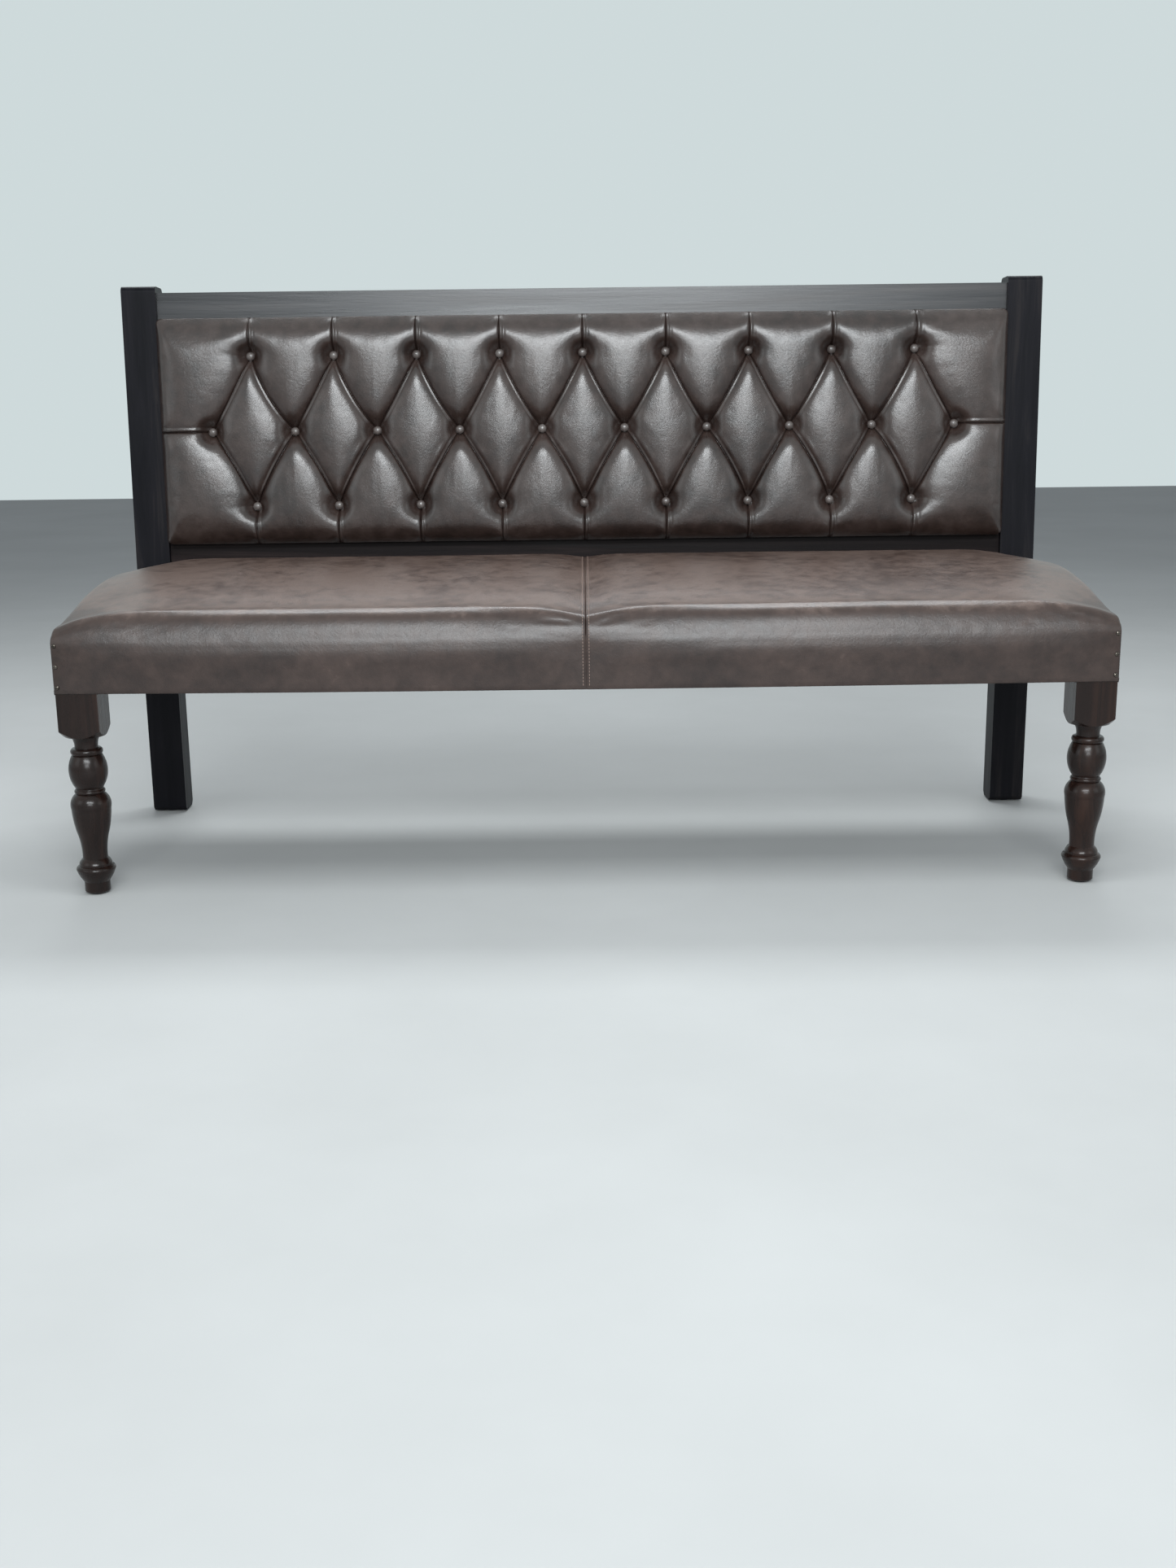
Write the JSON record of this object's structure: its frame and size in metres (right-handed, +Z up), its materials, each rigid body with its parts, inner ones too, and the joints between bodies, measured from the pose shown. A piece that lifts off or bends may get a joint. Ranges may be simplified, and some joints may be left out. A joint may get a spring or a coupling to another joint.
{
  "type": "settee",
  "caption": "Long leather bench settee with a deep-buttoned raked back between square posts, a padded seat, turned front legs and plain rear legs.",
  "frame": {"origin": "on the floor, under the centre of the whole settee", "axes": "+X to the sitter's left along the settee, +Y towards the back, +Z up"},
  "size_m": [1.804, 0.6879, 1.0504],
  "materials": {
    "leg_wood": "dark walnut stain under gloss lacquer",
    "frame_wood": "near-black espresso stain under satin lacquer",
    "inner_wood": "bare planed softwood and plywood",
    "panel_wood": "dark stained thin board",
    "fastener_steel": "bright zinc",
    "glide_plastic": "matt black",
    "nail_metal": "antiqued, half polished",
    "webbing": "woven jute",
    "hessian": "coarse woven jute",
    "dust_cloth": "black spun cloth",
    "foam": "upholstery foam",
    "twine": "waxed twine",
    "seat_leather": "dark brown, semi-gloss, fine grain",
    "back_leather": "dark brown, semi-gloss, fine grain"
  },
  "bodies": {
    "root": {"back_bottom_rail": "frame_wood", "back_buttons": "back_leather", "back_lining_panel": "panel_wood", "back_pad_board": "inner_wood", "back_pad_cover": "back_leather", "back_pad_foam": "foam", "back_stile_left": "inner_wood", "back_stile_right": "inner_wood", "back_top_rail": "frame_wood", "bottom_lining": "dust_cloth", "button_twines": "twine", "coach_screws": "fastener_steel", "coach_washers": "fastener_steel", "corner_block_front_left": "inner_wood", "corner_block_front_right": "inner_wood", "corner_block_rear_left": "inner_wood", "corner_block_rear_right": "inner_wood", "corner_block_screws": "fastener_steel", "corner_nails": "nail_metal", "foot_glides": "glide_plastic", "front_leg_left": "leg_wood", "front_leg_right": "leg_wood", "pad_screws": "fastener_steel", "rail_dowels": "inner_wood", "rear_post_left": "frame_wood", "rear_post_right": "frame_wood", "seat_cover_left": "seat_leather", "seat_cover_right": "seat_leather", "seat_cross_rail_centre": "inner_wood", "seat_cross_rail_left": "inner_wood", "seat_cross_rail_right": "inner_wood", "seat_foam": "foam", "seat_front_rail": "inner_wood", "seat_hessian": "hessian", "seat_rear_rail": "inner_wood", "seat_side_rail_left": "inner_wood", "seat_side_rail_right": "inner_wood", "seat_webbing": "webbing", "twine_washers": "fastener_steel"}
  },
  "joints": []
}
